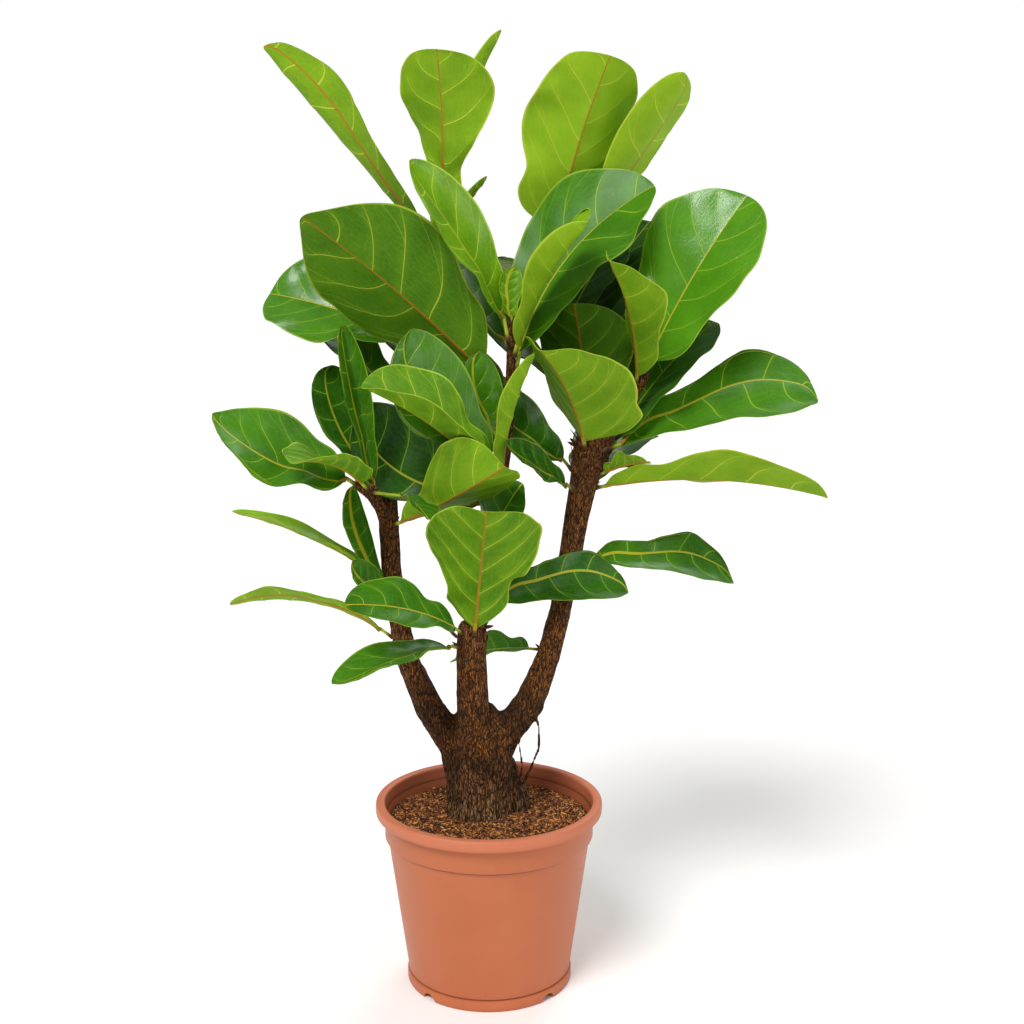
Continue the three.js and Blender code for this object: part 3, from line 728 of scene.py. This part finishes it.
def make_husks(trunk, leaves, material, draw):
    """Dry scales that the buds left at the roots of the stalks, and round the cut ends."""
    tree = BVHTree.FromObject(trunk, bpy.context.evaluated_depsgraph_get())
    starts = []
    for leaf in leaves.values():
        root = Vector(leaf.stalk.mean(axis=0))
        way = (Vector(leaf.rings[0].mean(axis=0)) - root).normalized()
        starts += [(root + way * STALK_PROBE, way, 1.0)] * HUSKS_A_STALK
    for name, scales in KNOBS.items():
        root = Vector(leaves[name].stalk.mean(axis=0))
        wood = [v.co for v in trunk.data.vertices if (v.co - root).length < KNOB_REACH]
        middle = sum(wood, Vector()) / len(wood)
        for _ in range(scales):
            turn = draw.uniform(0, 2 * math.pi)
            way = Vector((math.cos(turn), math.sin(turn), 0))
            middle.z = root.z + draw.uniform(-20, 16) * MM
            starts.append((middle + way * KNOB_PROBE, way, 1.3))
    points, faces = [], []
    for place, way, size in starts:
        hit, out, _, _ = tree.ray_cast(place, -way, KNOB_PROBE)
        if hit is None:
            continue
        grow = way * 0.5 + Vector((draw.gauss(0, 0.5), draw.gauss(0, 0.5), draw.uniform(0.4, 1.2)))
        grow = (grow - out * grow.dot(out) * 0.5).normalized()
        side = grow.cross(out).normalized()
        hit = hit + side * draw.uniform(-3.5, 3.5) * MM - out * 1 * MM
        length = size * draw.uniform(*HUSK_LENGTH)
        half = length * draw.uniform(0.18, 0.28)
        curl = draw.uniform(0.1, 0.4) * length
        rings = []
        for u in (0, 0.25, 0.5, 0.75, 1):
            middle = hit + grow * length * u + out * curl * u * u
            wide = half * math.sin(math.pi * (0.25 + 0.72 * u)) ** 0.8
            section = ((-1, 0), (-0.5, 0.35), (0.5, 0.35), (1, 0), (0.5, 0.2), (-0.5, 0.2))
            rings.append([middle + side * wide * a + out * wide * b for a, b in section])
        first = len(points)
        points += [point for ring in rings for point in ring]
        faces += [tuple(first + i for i in face) for face in skin(rings, cap_end=True)]
    piece = new_object("bark_husks", points, faces, material)
    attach(piece, "root")


# ---------------------------------------------------------------- pot and potting mix


def squared(value):
    """Makes a round section squarer when both its cosine and its sine go through this."""
    return math.copysign(abs(value) ** RIM_SQUARENESS, value)


def turned(name, profile, sides, material):
    """A body turned about the Z axis. The profile runs from the axis out, round and back."""
    body = bmesh.new()
    angles = [2 * math.pi * i / sides for i in range(sides)]
    rings = []
    for r, z in profile:
        if r < 1e-9:
            rings.append([body.verts.new((0, 0, z))])
        else:
            rings.append([body.verts.new((r * math.cos(a), r * math.sin(a), z)) for a in angles])
    for low, high in zip(rings, rings[1:]):
        for i in range(sides):
            j = (i + 1) % sides
            corners = [low[i % len(low)], low[j % len(low)], high[j % len(high)], high[i % len(high)]]
            unique = list(dict.fromkeys(corners))
            body.faces.new(unique)
    bmesh.ops.recalc_face_normals(body, faces=body.faces)
    mesh = bpy.data.meshes.new(name)
    body.to_mesh(mesh)
    body.free()
    mesh.materials.append(material)
    piece = bpy.data.objects.new(name, mesh)
    bpy.context.scene.collection.objects.link(piece)
    return piece


def notch_cutter(turn):
    """A short bar with a round top that lies across the pot's foot, where a notch is cut."""
    body = bmesh.new()
    arch = [math.radians(a) for a in range(180, -1, -15)]
    section = [(-1, -0.3)] + [(math.cos(a), math.sin(a)) for a in arch] + [(1, -0.3)]
    ends = []
    for reach in (FOOT_RADIUS - 25 * MM, FOOT_RADIUS + 10 * MM):
        ends.append([
            body.verts.new((
                reach * math.cos(turn) - x * NOTCH_WIDTH / 2 * math.sin(turn),
                reach * math.sin(turn) + x * NOTCH_WIDTH / 2 * math.cos(turn),
                z * NOTCH_HEIGHT))
            for x, z in section
        ])
    body.faces.new(ends[0])
    body.faces.new(ends[1][::-1])
    for a in range(len(section)):
        b = (a + 1) % len(section)
        body.faces.new((ends[0][a], ends[0][b], ends[1][b], ends[1][a]))
    bmesh.ops.recalc_face_normals(body, faces=body.faces)
    mesh = bpy.data.meshes.new("notch")
    body.to_mesh(mesh)
    body.free()
    cutter = bpy.data.objects.new("notch", mesh)
    bpy.context.scene.collection.objects.link(cutter)
    return cutter


def make_pot(material):
    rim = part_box("pot")[1].x
    lip, tall = (rim - MOUTH_RADIUS) / 2, RIM_ROLL / 2
    lip_turns = [math.radians(a) for a in range(-80, 181, 10)]
    roll = [
        (rim - lip + lip * squared(math.cos(a)), POT_HEIGHT - tall + tall * squared(math.sin(a)))
        for a in lip_turns
    ]
    foot, ledge, roll_foot = FOOT_HEIGHT, LEDGE_HEIGHT, POT_HEIGHT - RIM_ROLL
    profile = [
        (0, 0), (FOOT_RADIUS - 3 * MM, 0), (FOOT_RADIUS - 1 * MM, 0.5 * MM), (FOOT_RADIUS, 2 * MM),
        (FOOT_RADIUS, foot - 3 * MM), (FOOT_RADIUS - 0.5 * MM, foot - 1.4 * MM),
        (FOOT_RADIUS - 2.4 * MM, foot - 0.6 * MM), (FOOT_RADIUS - 1.9 * MM, foot + 1 * MM),
        (BODY_TOP_RADIUS - 0.6 * MM, ledge - 3 * MM), (BODY_TOP_RADIUS, ledge - 1 * MM),
        (BAND_RADIUS - 0.8 * MM, ledge + 0.2 * MM), (BAND_RADIUS - 0.2 * MM, ledge + 1.4 * MM),
        (BAND_RADIUS, roll_foot - 1 * MM), (BAND_RADIUS + 0.4 * MM, roll_foot + 0.6 * MM),
        *roll,
        (MOUTH_RADIUS - 0.6 * MM, roll_foot), (MOUTH_RADIUS - 2 * MM, roll_foot - 2 * MM),
        (BODY_TOP_RADIUS - WALL, ledge - 2 * MM), (FOOT_RADIUS - 2 * MM - WALL, POT_FLOOR),
        (0, POT_FLOOR),
    ]
    piece = turned("fine_pot", profile, POT_SIDES, material)
    cutters = [notch_cutter(2 * math.pi * (i + 0.5) / NOTCHES) for i in range(NOTCHES)]
    for cutter in cutters:
        cut = piece.modifiers.new("notch", "BOOLEAN")
        cut.operation = "DIFFERENCE"
        cut.solver = "EXACT"
        cut.object = cutter
    piece.data = applied(piece)
    for cutter in cutters:
        bpy.data.objects.remove(cutter)
    piece.data.shade_smooth()
    piece.data.set_sharp_from_angle(angle=math.radians(35))
    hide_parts("pot")
    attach(piece, "root")


def chip_points(length, width, thick, draw):
    """Three rings of three points round a splinter's middle, which lies askew and a little bent."""
    lie = Euler((draw.gauss(0, 0.3), draw.gauss(0, 0.3), draw.uniform(0, 2 * math.pi)))
    bend = draw.uniform(-0.1, 0.1) * length
    lift = Vector((0, 0, draw.uniform(0.3, 2.2) * MM))
    points = []
    for end in (-1, 0, 1):
        taper = 1.0 if end == 0 else draw.uniform(0.3, 0.7)
        for side, over in ((-1, -0.5), (1, -0.5), (0, 0.8)):
            aside = side * width / 2 * taper + (bend if end else 0)
            local = Vector((end * length / 2, aside, over * thick * taper))
            local.rotate(lie)
            points.append(local + lift)
    return points


def make_chips(material, draw):
    """Chips and fibres of coir and bark, strewn over the top of the potting mix."""
    soil = frame["nodes"]["soil"]
    tree = BVHTree.FromObject(soil, bpy.context.evaluated_depsgraph_get())
    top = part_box("soil")[1].z
    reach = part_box("soil")[1].x
    chip_faces = skin([range(CHIP_SIDES)] * CHIP_RINGS, cap_end=True)
    points, faces, tones = [], [], []
    while len(tones) < CHIPS:
        spread = reach * math.sqrt(draw.random())
        turn = draw.uniform(0, 2 * math.pi)
        above = Vector((spread * math.cos(turn), spread * math.sin(turn), top + 20 * MM))
        hit, _, _, _ = tree.ray_cast(above, Vector((0, 0, -1)))
        if hit is None or hit.z < top - LOWEST_CHIP:
            continue
        length = draw.uniform(*CHIP_LENGTH) * draw.uniform(0.5, 1)
        width = length * draw.uniform(0.2, 0.45)
        thick = width * draw.uniform(0.35, 0.7)
        if spread + length / 2 > reach - 1 * MM:
            continue
        first = len(points)
        points += [hit + point for point in chip_points(length, width, thick, draw)]
        faces += [tuple(first + i for i in face) for face in chip_faces]
        tones.append((draw.random(), 0, 0))
    piece = new_object("soil_chips", points, faces, material, False)
    store(piece, "chip", np.repeat(tones, CHIP_RINGS * CHIP_SIDES, axis=0))
    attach(piece, "root")


# ---------------------------------------------------------------- setting


def make_camera():
    camera = bpy.data.objects.new("camera", bpy.data.cameras.new("camera"))
    camera.data.lens = FOCAL_LENGTH_MM
    camera.data.sensor_width = SENSOR_WIDTH_MM
    camera.location = CAMERA_PLACE
    camera.rotation_euler = (math.radians(CAMERA_PITCH_DEGREES), 0, 0)
    bpy.context.scene.collection.objects.link(camera)
    bpy.context.scene.camera = camera


def make_sun(name, azimuth, rise, spread, strength):
    """A far light as wide in the sky as a soft box. Angles are degrees."""
    lamp = bpy.data.lights.new(name, "SUN")
    lamp.angle = math.radians(spread)
    lamp.energy = strength
    light = bpy.data.objects.new(name, lamp)
    a, r = math.radians(azimuth), math.radians(rise)
    towards = Vector((math.cos(r) * math.cos(a), math.cos(r) * math.sin(a), math.sin(r)))
    light.rotation_euler = towards.to_track_quat("Z", "Y").to_euler()
    bpy.context.scene.collection.objects.link(light)


def make_setting():
    scene = bpy.context.scene
    scene.view_settings.view_transform = "Standard"
    world = bpy.data.worlds.new("studio")
    world.use_nodes = True
    nodes, links = world.node_tree.nodes, world.node_tree.links
    backdrop = nodes["Background"]
    backdrop.inputs[0].default_value = (1, 1, 1, 1)
    # The backdrop shows white, lights the part less than that, and shines in it less still.
    seen = nodes.new("ShaderNodeLightPath")
    level = nodes.new("ShaderNodeMath")
    level.operation = "MULTIPLY_ADD"
    level.inputs[1].default_value = 1 - WORLD_LIGHT
    level.inputs[2].default_value = WORLD_LIGHT
    links.new(seen.outputs["Is Camera Ray"], level.inputs[0])
    dimmer = nodes.new("ShaderNodeMath")
    dimmer.operation = "MULTIPLY_ADD"
    dimmer.inputs[1].default_value = WORLD_SHEEN - WORLD_LIGHT
    links.new(seen.outputs["Is Glossy Ray"], dimmer.inputs[0])
    links.new(level.outputs[0], dimmer.inputs[2])
    links.new(dimmer.outputs[0], backdrop.inputs[1])
    scene.world = world
    for name, numbers in SUNS.items():
        make_sun(name, *numbers)
    s = Shader("floor")
    cloud = s.noise(s.place(), 3.0, 2.0)
    s.surface(Base_Color=s.mix(cloud, "f4f3f1", "f8f7f6"), Roughness=0.8)
    wide = FLOOR_SIZE / 2
    corners = [(-wide, -wide, 0), (wide, -wide, 0), (wide, wide, 0), (-wide, wide, 0)]
    new_object("floor", corners, [(0, 1, 2, 3)], s.material, False)


make_camera()
make_setting()
MATERIALS = {slot: leaf_material(slot) for slot in LEAF_LOOKS}
SLOTS = {row["node"]: row["material_slot"] for row in frame["record"]["subparts"]}
LEAVES = {}
for index, node_name in enumerate(sorted(n for n in frame["nodes"] if n.startswith("leaf_"))):
    slot = SLOTS[node_name]
    LEAVES[node_name] = make_leaf(node_name, slot, MATERIALS[slot], random.Random(100 + index))
TRUNK = make_trunk(bark_material())
make_husks(TRUNK, LEAVES, husk_material(), random.Random(11))
make_pot(pot_material())
SOIL_LOOK = soil_material()
frame["nodes"]["soil"].data.materials.clear()
frame["nodes"]["soil"].data.materials.append(SOIL_LOOK)
make_chips(SOIL_LOOK, random.Random(7))
